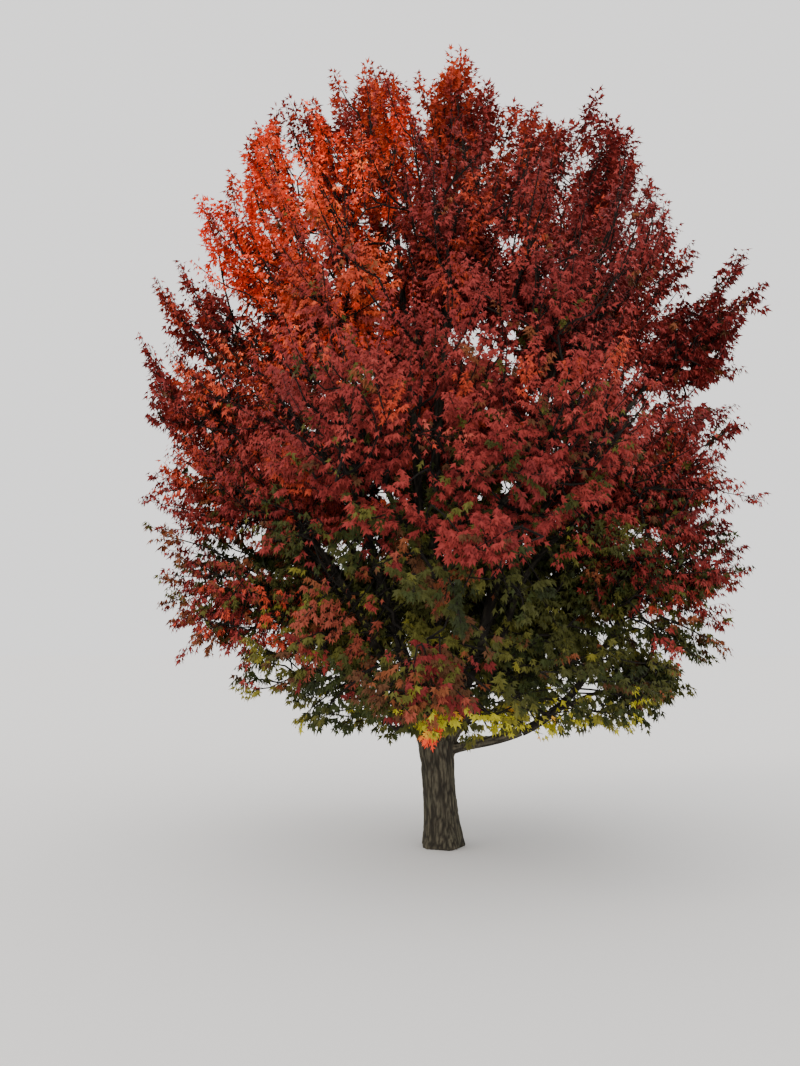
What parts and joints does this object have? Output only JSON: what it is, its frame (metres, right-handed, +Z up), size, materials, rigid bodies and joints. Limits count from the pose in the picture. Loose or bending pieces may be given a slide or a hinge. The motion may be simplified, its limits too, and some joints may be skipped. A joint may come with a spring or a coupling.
{
  "type": "red maple tree",
  "caption": "Autumn maple tree with a short leaning trunk that forks low into rising limbs under a full rounded crown of red foliage, olive and gold at its foot.",
  "frame": {"origin": "middle of the flat cut under the trunk, at ground level", "axes": "+Z up, +X to the right and +Y away from the viewer in the usual view of the tree"},
  "size_m": [6.145, 5.6337, 8.025],
  "materials": {
    "bark": "rough furrowed bark",
    "leaf_crimson": "crimson autumn leaves, softly matt",
    "leaf_maroon": "maroon autumn leaves, softly matt",
    "leaf_scarlet": "scarlet autumn leaves, softly matt",
    "leaf_orange": "orange autumn leaves, softly matt",
    "leaf_olive": "olive autumn leaves, softly matt",
    "leaf_green": "dark green leaves, softly matt"
  },
  "bodies": {
    "root": {"trunk": "bark", "leader_centre": "bark", "leader_left_inner": "bark", "leader_left": "bark", "limb_left": "bark", "leader_right": "bark", "limb_right": "bark", "limb_right_low": "bark", "leader_front": "bark", "leader_back_left": "bark", "leader_back_right": "bark", "bough_front_sunlit": "bark", "bough_left_shoulder": "bark", "bough_left_mid": "bark", "bough_left_low": "bark", "bough_top_back": "bark", "bough_top_front": "bark", "bough_right_upper": "bark", "bough_right_outermost": "bark", "bough_front_upper_right": "bark", "bough_right_lowest": "bark", "bough_front_left": "bark", "bough_front_tuft": "bark", "bough_front_low": "bark", "bough_back_left": "bark", "bough_back_mid": "bark", "bough_back_right": "bark", "foliage_crown_top": "leaf_scarlet", "foliage_top_left": "leaf_maroon", "foliage_top_right": "leaf_crimson", "foliage_upper_left": "leaf_scarlet", "foliage_upper_left_outer": "leaf_orange", "foliage_left_upper": "leaf_orange", "foliage_left_shoulder": "leaf_scarlet", "foliage_left_outermost": "leaf_crimson", "foliage_left_mid": "leaf_scarlet", "foliage_left_low": "leaf_orange", "foliage_upper_right": "leaf_maroon", "foliage_right_upper": "leaf_maroon", "foliage_right_outermost": "leaf_crimson", "foliage_right_mid": "leaf_crimson", "foliage_right_low": "leaf_scarlet", "foliage_right_lowest": "leaf_olive", "foliage_top_front": "leaf_crimson", "foliage_front_sunlit": "leaf_orange", "foliage_front_upper_right": "leaf_maroon", "foliage_front_left": "leaf_crimson", "foliage_front_right": "leaf_crimson", "foliage_front_tuft": "leaf_crimson", "foliage_front_low": "leaf_olive", "foliage_inner_left": "leaf_green", "foliage_inner_right": "leaf_green", "foliage_top_back": "leaf_maroon", "foliage_back_upper_left": "leaf_scarlet", "foliage_back_upper_right": "leaf_crimson", "foliage_back_left": "leaf_crimson", "foliage_back_mid": "leaf_scarlet", "foliage_back_right": "leaf_maroon", "foliage_back_low_left": "leaf_olive", "foliage_back_low_right": "leaf_olive"}
  },
  "joints": []
}
